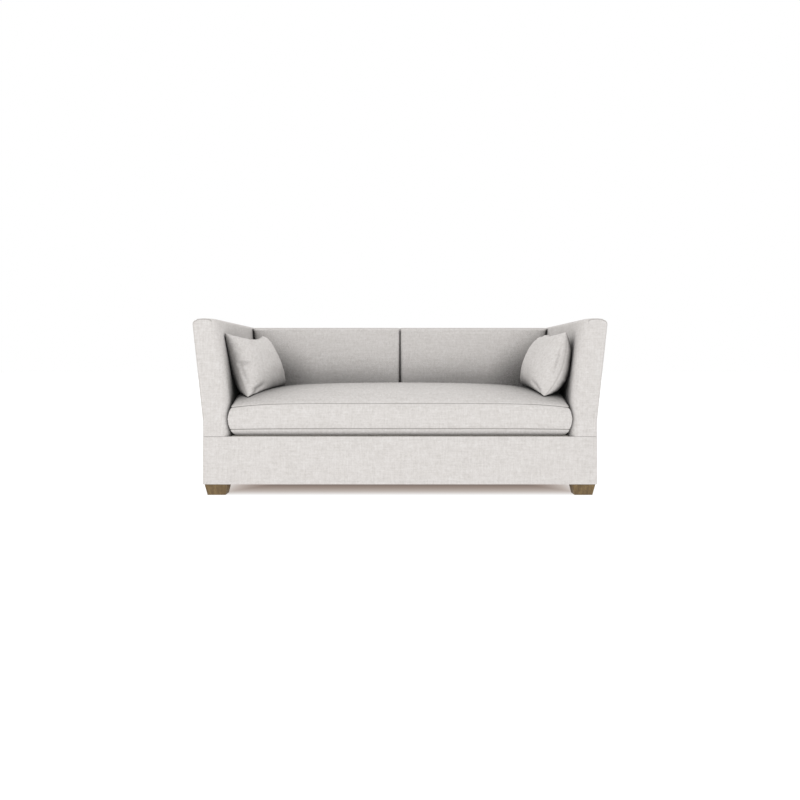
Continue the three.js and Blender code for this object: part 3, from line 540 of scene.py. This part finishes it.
def make_arms():
    """Three covers on each arm: its padded front, its inside with its top, and its outside."""
    covers = (("arm_front_cover_", "arm_front_pad_", arm_front_rings()),
              ("arm_inside_cover_", "inside_arm_pad_", inside_arm_rings()),
              ("arm_outside_cover_", "outside_arm_panel_",
               leaning_panel(front_pad_rear + gap, box_rear, band_top + gap, arm_shoulder)))
    # each arm has its own strength of painted shade
    for side, cloth in (("right", linen_painted_shade_right_arm), ("left", linen_painted_shade_left_arm)):
        for name, node, rings in covers:
            points, faces = lofted(rings)
            cover = make_piece(name + side, node + side, sided(side, points), faces, cloth)


# Base and outside back

def make_base():
    """The covered band round the base, in four pieces."""
    for node, name, along in (("front_base_band", "base_cover_front", 0),
                              ("back_base_band", "base_cover_back", 0),
                              ("side_base_band_right", "base_cover_right", 1),
                              ("side_base_band_left", "base_cover_left", 1)):
        low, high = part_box(node)
        points, faces = lofted(straight_slab(low, high, along, panel_round, panel_cell))
        cover = make_piece(name, node, points, faces, linen)


def make_back_outside():
    """The flat cover over the outside of the back, which widens upwards as the arms do."""
    low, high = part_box("outside_back_panel")
    rings = []
    for share in near_ends(-1, 1, 60, 4 * mm):
        inset = draw_in(share, -1, 1, panel_round)
        section = rounded_section(rear - skin, rear, low.z, high.z, panel_round, inset, panel_cell)
        rings.append([(share * float(outer_x(z)), y, z) for y, z in section])
    points, faces = lofted(rings)
    cover = make_piece("back_outside_cover", "outside_back_panel", points, faces, linen)


def make_deck():
    """The padded platform under the seat cushion, in plain cotton."""
    low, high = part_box("seat_deck")
    low.z = deck_bottom
    points, faces = lofted(straight_slab(low, high, along=0, rounding=4 * mm, cell=30 * mm))
    deck = make_piece("deck_cover", "seat_deck", points, faces, decking)


def make_dust_sheet():
    """The cloth stretched under the seat box: two faces a thickness apart, closed round the rim."""
    low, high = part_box("dust_cover")
    lift, thickness = 0.2 * mm, 1 * mm
    rows = steps(low.y, high.y, 16)
    columns = steps(low.x, high.x, 32)
    points = [(x, y, z) for z in (low.z + lift, low.z + lift + thickness) for y in rows for x in columns]
    count, last_row = len(columns), len(rows) - 1
    level = count * len(rows)
    faces = []
    for r in range(last_row):
        for c in range(count - 1):
            a = r * count + c
            faces.append((a, a + count, a + count + 1, a + 1))
            faces.append((level + a, level + a + 1, level + a + count + 1, level + a + count))
    rim = [(0, c) for c in range(count)]
    rim += [(r, count - 1) for r in range(1, len(rows))]
    rim += [(last_row, c) for c in range(count - 2, -1, -1)]
    rim += [(r, 0) for r in range(last_row - 1, 0, -1)]
    ids = [r * count + c for r, c in rim]
    for a, b in zip(ids, ids[1:] + ids[:1]):
        faces.append((a, b, level + b, level + a))
    sheet = make_piece("dust_sheet", "dust_cover", points, faces, dust_cloth)


# Back

def back_pad_ring(out, width):
    """One ring of the right back pad, at a distance out from the middle seam."""
    bottom = deck_top + gap
    top_round, rear_round = 26 * mm, 8 * mm
    crown, crown_from = 8 * mm, 515 * mm
    seam_share = 0.62  # of the way round the top's edge, where its seam runs
    middle_drop, arm_drop = 0.15, 0.6  # fall of the corners; the pads meet nearly level at the middle
    face_top = back_top - top_round
    top_start = back_face_y(face_top) + top_round
    out_share = out / width
    drawn = draw_in(out, 0, width, back_side_round)
    drop = drawn * (middle_drop if out_share < 0.5 else arm_drop)
    ring = []

    def put(y, z, painted_shade=0):
        x0, x1 = gap / 2, float(leaning_x(z)) - gap
        ring.append((x0 + (x1 - x0) * out_share, y, z, painted_shade))

    for z in steps(bottom, face_top, 30):
        swell = math.sin(math.pi * clamped((z - crown_from) / (back_top - crown_from)))
        put(back_face_y(z) + drawn - crown * swell * math.sin(math.pi * out_share), z)
    for share in steps(0, 1, 14)[1:]:
        angle = share * math.pi / 2
        from_seam = (share - seam_share) * top_round * math.pi / 2
        radius = top_round - seam_dip(from_seam, back_groove)
        # the seam over the top's edge carries painted shadow
        put(top_start - radius * math.cos(angle) + drawn * (1 - share),
            face_top + (radius - drop) * math.sin(angle), painted_seam_shadow(from_seam))
    for share in steps(0, 1, 4)[1:]:
        put(top_start + (rear - rear_round - top_start) * share, back_top - drop)
    put(rear, back_top - max(drop, rear_round))
    put(rear, arm_shoulder + gap)
    put(box_rear, arm_shoulder + gap)
    put(box_rear, frame_top + gap)
    for z in (frame_top + gap, bottom):
        put(back_face_y(z) + back_pad, z)
    return ring


def make_back():
    """Two back pads that meet at the middle seam."""
    width = float(inner_x(back_seat_height))
    rings = [back_pad_ring(out, width) for out in near_ends(0, width, 34, back_side_round)]
    points, faces = lofted(rings)
    for side in ("right", "left"):
        pad = make_piece("back_cushion_" + side, "back_pad_" + side, sided(side, points), faces, linen_painted_shade_back)


# Seat cushion

cushion_seam, cushion_low_seam = 434 * mm, 314 * mm
cushion_drop = 22 * mm  # fall of the upper seam at the cushion's ends
cushion_draw_in = 26 * mm
cushion_corner = 14 * mm
cushion_flare = 20 * mm  # swell of each front corner past the arm's rounded front
fall_power = 6  # how late the falls towards the ends set in

# The side, from the deck to the upper seam: share of the height, and share of the full draw-in
side_shares = ((0, 1), (0.05, 0.58), (0.135, 0.31), (0.225, 0.19), (0.425, 0.04), (0.64, 0), (0.877, 0.15),
               (1, 0.35))

# The crowned top
cushion_crown = 81 * mm
crown_share = 1.08  # of the crown, at the middle of the top
even_fall_share, end_fall_share = 0.26, 0.07  # of the crown, lost evenly towards the ends and near them
ends_power = 160  # how near to the ends the top stays full
front_power, corners_power = 2.6, 4.5  # how near to the front and rear, and how much nearer at the ends
start_power = 0.85  # how roundly the top starts from the seam

cushion_inset = cushion_draw_in * side_shares[-1][1]
cushion_half = float(inner_x(cushion_seam)) - gap - cushion_inset
cushion_front = front + cushion_inset
cushion_rear = float(back_face_y(cushion_seam)) - gap - cushion_inset
cushion_middle = (cushion_front + cushion_rear) / 2
cushion_half_depth = (cushion_rear - cushion_front) / 2


def seam_z(x):
    """Height of the seat cushion's upper seam, lower towards its ends."""
    return cushion_seam - cushion_drop * min(abs(x) / seat_side, 1) ** fall_power


def seat_top_z(x, y):
    """Height of the seat cushion's crowned top."""
    u = min(abs(x) / cushion_half, 1)
    v = min(abs(y - cushion_middle) / cushion_half_depth, 1)
    crown = cushion_crown * (crown_share - even_fall_share * u ** 2 - end_fall_share * u ** fall_power)
    depth_power = front_power + corners_power * u ** fall_power
    return seam_z(x) + crown * ((1 - u ** ends_power) * (1 - v ** depth_power)) ** start_power


def flared(y, half):
    """How many times wider a level of the seat cushion is at y than behind the arms' fronts."""
    return 1 + clamped((front_pad_rear - y) / arm_front_pad) ** 3 * cushion_flare / half


def cushion_loop(half_x, front_y, rear_y, radius, across=56, ends=16, corner_count=6):
    """One level of the seat cushion, seen from above."""
    def arc(x, y, turn):
        angles = [math.pi * (turn + 0.5 * i / corner_count) for i in range(corner_count + 1)]
        return [(x + radius * math.cos(angle), y + radius * math.sin(angle)) for angle in angles]

    end_from = max(front_pad_rear, front_y + radius + gap)
    right = [((half_x - radius) * 2 * i / across, front_y) for i in range(across // 2)]
    right += arc(half_x - radius, front_y + radius, 1.5)
    right += [(half_x, y) for y in steps(end_from, rear_y - radius, ends)[:-1]]
    right += arc(half_x - radius, rear_y - radius, 0)
    right += [((half_x - radius) * 2 * i / across, rear_y) for i in reversed(range(across // 2))]
    return right + [(-x, y) for x, y in reversed(right[1:-1])]


def cushion_side_rings():
    """Rings up the seat cushion's side, from its underside to its upper seam."""
    height = cushion_seam - deck_top
    low_share = (cushion_low_seam - deck_top) / height
    levels = {0, 0.01, 0.03, 0.06, 0.1, 0.15, 0.3, 0.4, 0.5, 0.6, 0.7, 0.78, 0.85, 0.9, 0.94}
    levels.update(low_share + d * mm / height for d in (-4, -2.4, -1.2, 0, 1.2, 2.4, 4))
    levels.update(1 + d * mm / height for d in (-5, -3.2, -1.6, 0))
    rings = []
    for share in sorted(levels):
        from_low_seam, from_top_seam = (share - low_share) * height, (share - 1) * height
        z = deck_top + gap + (cushion_seam - deck_top - gap) * share
        inset = cushion_draw_in * float(np.interp(share, *zip(*side_shares)))
        inset += seam_dip(from_low_seam, cushion_low_groove) + seam_dip(from_top_seam, cushion_top_groove)
        # painted shadow along both seams
        painted_shade = max(painted_seam_shadow(from_low_seam), painted_seam_shadow(from_top_seam))
        half_x = float(inner_x(z - cushion_drop * share)) - gap - inset
        rear_y = float(back_face_y(z)) - gap - inset
        ring = []
        for x, y in cushion_loop(half_x, front + inset, rear_y, cushion_corner):
            drop = (cushion_seam - seam_z(x)) * share
            to_rear = (y - front) / (rear_y - front)
            ring.append((x * flared(y, half_x), y - drop * back_rake * to_rear, z - drop, painted_shade))
        rings.append(ring)
    return rings


def cushion_top_rings():
    """Rings over the seat cushion's crown, from its upper seam to the middle of its top."""
    corner_growth, corner_most = 0.28, 0.8  # of the way in, and of the depth that is left
    ring_shares = (0.003, 0.006, 0.01, 0.015, 0.022, 0.034, 0.05, 0.08, 0.12, 0.17, 0.23, 0.3,
                   0.38, 0.47, 0.57, 0.68, 0.79, 0.88, 0.95)
    rings = []
    for share in ring_shares:
        further = share * cushion_half_depth
        radius = min(cushion_corner + further * corner_growth, (cushion_half_depth - further) * corner_most)
        # groove and painted shadow along the upper seam
        dip = seam_dip(further, cushion_top_groove)
        rings.append([(x * flared(y, cushion_half), y, seat_top_z(x, y) - dip, painted_seam_shadow(further))
                      for x, y in cushion_loop(cushion_half - further, cushion_front + further,
                                               cushion_rear - further, radius)])
    return rings


def front_to_rear(start, count):
    """Faces that close the innermost ring of the seat's top: a strip along the cushion's middle."""
    half = count // 2 + 1
    right = list(range(half))
    left = [0] + [count - k for k in right[1:-1]] + [half - 1]
    return [tuple(start + end[i] for i in (k, k + 1, half - 2 - k, half - 1 - k))
            for end in (right, left) for k in range(half // 2 - 1)]


def make_seat_cushion():
    """The loose bench cushion, boxed, with a crowned top."""
    rings = cushion_side_rings() + cushion_top_rings()
    points, faces = lofted(rings)
    faces[-1:] = front_to_rear(len(points) - len(rings[0]), len(rings[0]))
    cushion = make_piece("bench_cushion", "seat_cushion", points, faces, linen_painted_shade_seat, body="seat_cushion")


# Pillows

pillow_softness = 6 * mm  # over which the cloth gives way to the seat or arm that it leans on
pillow_cells = 84  # faces along each side
pillow_seam_shadow = 0.35  # how dark the painted shadow along a pillow's seam is
full_power, full_root = 2.2, 0.41  # how far out a pillow stays full, and how steeply it ends
gather_count, gather_height = 9, 4 * mm  # small gathers square to the seam
gather_share = 0.1  # of the way from the seam to the middle, where the gathers are highest
lump_count, lump_height = 2.2, 4 * mm  # unevenness of the filling
full_from = 30 * mm  # swell from which gathers and lumps have their whole height
other_side = 0.35  # how far the gathers of the two sides are out of step

# Places of the corners of each pillow's seam, in mm. A top corner: from the arm's inside, from the
# sofa's front, below the arm's top. A low corner, on the seat: from the seat space's side, from the
# front. Then how far the middle of each edge is drawn in, as a share of the pillow; below zero it bows
# out. The front edge curls towards the arm by mm, the swell in mm differs between the room's and the
# arm's side, and a heavy pillow is fuller low down on the arm's side.
pillow_seams = {
    "left": {"top": [(5, 99, 63), (113, 471, 64)], "low": [(71, 50), (181, 426)],
             "drawn": {"top": 0.121, "rear": 0.01, "low": -0.08, "front": 0.067},
             "curl": 15, "swell": (91, 95), "heavy": 0},
    "right": {"top": [(50, 110, 58), (45, 490, 57)], "low": [(109, 55), (141, 435)],
              "drawn": {"top": 0.085, "rear": -0.015, "low": 0, "front": -0.017},
              "curl": 35, "swell": (97, 87), "heavy": 0.16},
}

# Creases on the side that faces the room: places (u, v) from -1 to 1, front to rear and low to
# high, then the depth and the width of the furrow in mm.
both_creases = [([(-0.9, -0.93), (-0.75, -0.8), (-0.5, -0.7)], 4, 12),
                ([(0.95, -0.8), (0.7, -0.6)], 4, 14)]
pillow_creases = {
    "left": [([(-0.993, 0.02), (-0.93, -0.01), (-0.78, -0.06)], 6, 9),
             ([(-0.985, 0.0), (-0.985, -0.33), (-0.975, -0.62), (-0.95, -0.82)], 2.5, 12),
             ([(-0.22, 0.95), (-0.3, 0.8), (-0.42, 0.55)], 5, 17),
             ([(-0.972, 0.47), (-0.88, 0.4)], 3, 8), *both_creases],
    "right": [([(-0.978, 0.52), (-0.975, 0.22), (-0.978, -0.14), (-0.985, -0.33)], 6, 6),
              ([(-0.99, 0.1), (-0.93, 0.06)], 4, 7), ([(-0.985, 0.32), (-0.92, 0.27)], 3, 7),
              ([(0.86, 0.88), (0.5, 0.84), (0.1, 0.8)], 6, 10), *both_creases],
}


def crease(mesh, paths):
    """Presses furrows into cloth along paths on it, with the cloth a little proud on both sides."""
    lip_share, lip_at = 0.3, 1.7  # of the furrow's depth, and in its widths from its middle
    start_share, length_share, end_power = 0.1, 0.85, 0.7  # the furrow runs out at its ends
    places = np.array([v.co for v in mesh.vertices])
    normals = np.array([v.normal for v in mesh.vertices])
    for path, deep, wide in paths:
        away, share = np.full(len(places), 1.0), np.zeros(len(places))
        for k, (start, end) in enumerate(zip(path[:-1], path[1:])):
            run = end - start
            along = np.clip((places - start) @ run / (run @ run), 0, 1)
            distance = np.linalg.norm(places - start - along[:, None] * run, axis=1)
            nearer = distance < away
            away[nearer], share[nearer] = distance[nearer], (k + along[nearer]) / (len(path) - 1)
        across = away / (wide * mm)
        furrow = np.exp(-2 * across ** 2) - lip_share * np.exp(-2 * (across - lip_at) ** 2)
        furrow *= np.sin(np.pi * (start_share + length_share * share)) ** end_power
        places -= normals * (deep * mm * furrow)[:, None]
    mesh.vertices.foreach_set("co", places.ravel())
    mesh.update()


def softly(room):
    """Room that is left to a soft pillow: as given where there is plenty, and never below zero."""
    return pillow_softness * math.log1p(math.exp(room / pillow_softness))


def pressed(point):
    """A point of a pillow's cloth, pressed in where it would reach into the seat cushion or the arm."""
    x, y, z = point
    seat = seat_top_z(x, y) + gap
    z = seat + softly(z - seat)
    arm = float(inner_x(z)) - gap
    x = arm - softly(arm - x)
    return x, y, max(z, seat_top_z(x, y) + gap)


def top_corner(inward, back, below):
    """A top corner of a pillow's seam at the right arm, from its places in mm."""
    z = arm_top - below * mm
    return np.array((float(inner_x(z)) - inward * mm, front + back * mm, z))


def low_corner(inward, back):
    """A low corner of a pillow's seam at the right arm, on the seat, from its places in mm."""
    x, y = seat_side - inward * mm, front + back * mm
    return np.array((x, y, seat_top_z(x, y)))


def near_edge(t):
    """How much of an edge's bow is felt at a place from -1, at the far edge, to 1, on it."""
    return ((1 + t) / 2) ** 2


def fullness(t):
    """How full a pillow is at a place from -1 to 1 across it."""
    return max(1 - abs(t) ** full_power, 0) ** full_root


def stuffed_pillow(seam, seed):
    """Points and faces of a stuffed pillow between four corners of its seam, at the right arm, and
    the function that gives its surface at (u, v) on one side."""
    top_front, top_rear = (top_corner(*corner) for corner in seam["top"])
    low_front, low_rear = (low_corner(*corner) for corner in seam["low"])
    drawn = seam["drawn"]
    points, ids, faces = [], {}, []

    def surface(u, v, side):
        along = (1 + u) / 2 + (1 - v * v) * (drawn["front"] * near_edge(-u) - drawn["rear"] * near_edge(u))
        up = (1 + v) / 2 + (1 - u * u) * (drawn["low"] * near_edge(-v) - drawn["top"] * near_edge(v))
        low, high = low_front + (low_rear - low_front) * along, top_front + (top_rear - top_front) * along
        across = (low_rear - low_front) * (1 - up) + (top_rear - top_front) * up
        outwards = np.cross(across, high - low)
        outwards /= np.linalg.norm(outwards)
        # gathers stand square to the seam, differ on the two sides and die out over the filling
        run = (v if abs(u) > abs(v) else u) + other_side * side + seed
        fading = math.exp(-((1 - max(abs(u), abs(v)) - gather_share) / gather_share) ** 2)
        gathers = gather_height * fading * noise.noise(Vector((run * gather_count, seed * 3, side)))
        lumps = lump_height * noise.noise(Vector((u * lump_count + seed, v * lump_count, side * 2)))
        thick = seam["swell"][0] if side < 0 else seam["swell"][1] * (1 - seam["heavy"] * v)
        swell = thick * mm * fullness(u) * fullness(v)
        curl = seam["curl"] * mm * (1 - v * v) * near_edge(-u)
        swell += (gathers + lumps) * min(swell / full_from, 1)
        return pressed(low + (high - low) * up + outwards * (curl + side * swell))

    def place(i, j, side):
        on_seam = i in (0, pillow_cells) or j in (0, pillow_cells)
        key = (i, j, 0 if on_seam else side)
        if key not in ids:
            u, v = (math.sin(math.pi / 2 * (2 * n / pillow_cells - 1)) for n in (i, j))
            ids[key] = len(points)
            # points on the seam carry its painted shadow
            points.append((*surface(u, v, side), pillow_seam_shadow * on_seam))
        return ids[key]

    for i in range(pillow_cells):
        for j in range(pillow_cells):
            for side in (1, -1):
                quad = [place(*at, side) for at in ((i, j), (i + 1, j), (i + 1, j + 1), (i, j + 1))]
                faces.append(quad if side > 0 else quad[::-1])
    return points, faces, surface


def make_pillows():
    """Two loose pillows, one leaning on each arm."""
    # the left pillow gets deeper painted shade than the right one
    for side, seed, cloth in (("left", 0.0, linen_painted_shade_left_pillow), ("right", 1.7, linen)):
        points, faces, surface = stuffed_pillow(pillow_seams[side], seed)
        pillow = make_piece("lean_pillow_" + side, "pillow_" + side, sided(side, points), faces, cloth,
                            body="pillow_" + side, angle=pillow_edge_angle)
        paths = [(np.array(sided(side, [surface(u, v, -1) for u, v in path])), deep, wide)
                 for path, deep, wide in pillow_creases[side]]
        crease(pillow.data, paths)


# Wood and steel of the frame

def ease_edges(node):
    """Rounds a timber's edges a little, as sanding does."""
    weld = node.modifiers.new("weld", "WELD")
    weld.merge_threshold = 0.01 * mm
    edges = node.modifiers.new("eased_edges", "BEVEL")
    edges.width, edges.segments, edges.limit_method = 1.5 * mm, 2, "ANGLE"
    edges.angle_limit = math.radians(40)


def finish_nodes():
    """Gives the nodes that keep their own shape their wood and steel, with the grain along the rails."""
    across = ["front_rail", "back_rail", "spring_rail", "back_top_rail", "back_lower_rail"]
    along = ["side_rail_right", "side_rail_left", "seat_cross_rail", "arm_top_rail_right",
             "arm_top_rail_left", "arm_tack_rail_right", "arm_tack_rail_left"]
    for name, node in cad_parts.items():
        if name.startswith("foot_"):
            finish = oak
        elif name.startswith("seat_spring"):
            finish = spring_wire
        elif name.startswith("hanger_bolt") or name.endswith("clip_strip"):
            finish = zinc
        elif name.startswith("back_webbing"):
            finish = jute
        elif name in across:
            finish = beech_across
        elif name in along:
            finish = beech_along
        elif name.startswith(("corner_block", "arm_", "back_upright")):
            finish = beech_up
        else:
            continue
        node.data.materials.clear()
        node.data.materials.append(finish)
        if finish in (oak, beech_across, beech_along, beech_up):
            ease_edges(node)


# Stage

def make_floor():
    """White paper that glows evenly, with a painted shadow under the sofa."""
    half, painted_shadow_reach = 30, 165 * mm
    mesh = bpy.data.meshes.new("studio_floor")
    mesh.from_pydata([(-half, -half, 0), (half, -half, 0), (half, half, 0), (-half, half, 0)], [],
                     [(0, 1, 2, 3)])
    floor = bpy.data.objects.new("studio_floor", mesh)
    bpy.context.scene.collection.objects.link(floor)
    finish, tree, shader = new_finish("studio_paper_painted_shadow", Base_Color=linear("#808080"), Roughness=1.0,
                                      Emission_Strength=0.9)
    place = add_node(tree, "SeparateXYZ", {"Vector": add_node(tree, "TexCoord").outputs["Object"]})
    inside = []
    for axis, edge in (("X", base_side), ("Y", rear)):
        distance = add_node(tree, "Math", {0: place.outputs[axis]}, operation="ABSOLUTE").outputs[0]
        inside.append(add_node(tree, "Math", {0: edge, 1: distance}, operation="SUBTRACT").outputs[0])
    nearest = add_node(tree, "Math", {0: inside[0], 1: inside[1]}, operation="MINIMUM").outputs[0]
    share = add_node(tree, "Math", {0: nearest, 1: -1 / painted_shadow_reach}, operation="MULTIPLY").outputs[0]
    painted_light = add_node(tree, "Math", {0: share}, operation="EXPONENT").outputs[0]
    # painted shadow: the paper's glow falls to a warm dark under the sofa and fades out near its edges
    paper_glow_with_painted_shadow = add_node(tree, "ValToRGB", {"Fac": painted_light},
                    stops=((0, "#3a3430"), (0.25, "#97887f"), (0.5, "#c2b7b0"), (0.97, "#ffffff")))
    tree.links.new(paper_glow_with_painted_shadow.outputs["Color"], shader.inputs["Emission Color"])
    mesh.materials.append(finish)


def make_room_light():
    """Soft light from all round: white from the sides and a little weaker overhead."""
    side_until, overhead_from, overhead = 0.55, 0.8, 0.95
    world = bpy.data.worlds.new("studio")
    bpy.context.scene.world = world
    world.use_nodes = True
    tree = world.node_tree
    tree.nodes.clear()
    direction = add_node(tree, "TexCoord").outputs["Generated"]
    height = add_node(tree, "SeparateXYZ", {"Vector": direction}).outputs["Z"]
    strength = add_node(tree, "MapRange", {"Value": height, "From Min": side_until,
                                           "From Max": overhead_from, "To Min": 1.0, "To Max": overhead})
    sky = add_node(tree, "Background", {"Color": (1, 1, 1, 1), "Strength": strength.outputs["Result"]})
    add_node(tree, "OutputWorld", {"Surface": sky.outputs["Background"]})


def add_lamp(name, place, aim, size, power):
    """A rectangular lamp at a place, aimed at a point, of a width and height in metres."""
    data = bpy.data.lights.new(name, "AREA")
    data.shape, data.size, data.size_y, data.energy = "RECTANGLE", size[0], size[1], power
    lamp = bpy.data.objects.new(name, data)
    lamp.location = place
    lamp.rotation_mode = "QUATERNION"
    lamp.rotation_quaternion = (Vector(place) - Vector(aim)).to_track_quat("Z", "Y")
    bpy.context.scene.collection.objects.link(lamp)


def add_camera():
    """The photograph's view: level, from the middle, with the frame shifted down to the sofa."""
    eye_distance, eye_height = 3670 * mm, 634 * mm
    photo_pixels, eye_level_pixel = 800, 361  # the photograph's side, and the eye's level from its top
    data = bpy.data.cameras.new("camera")
    data.sensor_width, data.lens = 36, 30.56
    data.shift_y = (eye_level_pixel - photo_pixels / 2) / photo_pixels
    camera = bpy.data.objects.new("camera", data)
    camera.location = (0, -eye_distance, eye_height)
    camera.rotation_euler = (math.pi / 2, 0, 0)
    bpy.context.scene.collection.objects.link(camera)
    bpy.context.scene.camera = camera


add_camera()
make_arms()
make_base()
make_back_outside()
make_deck()
make_dust_sheet()
make_back()
make_seat_cushion()
make_pillows()
finish_nodes()
make_floor()
make_room_light()
add_lamp("soft_key", place=(-1.6, -3.4, 2.4), aim=(0, 0, 0.5), size=(2.4, 1.6), power=8)
bpy.context.scene.view_settings.view_transform = "Standard"
bpy.context.scene.view_settings.look = "None"
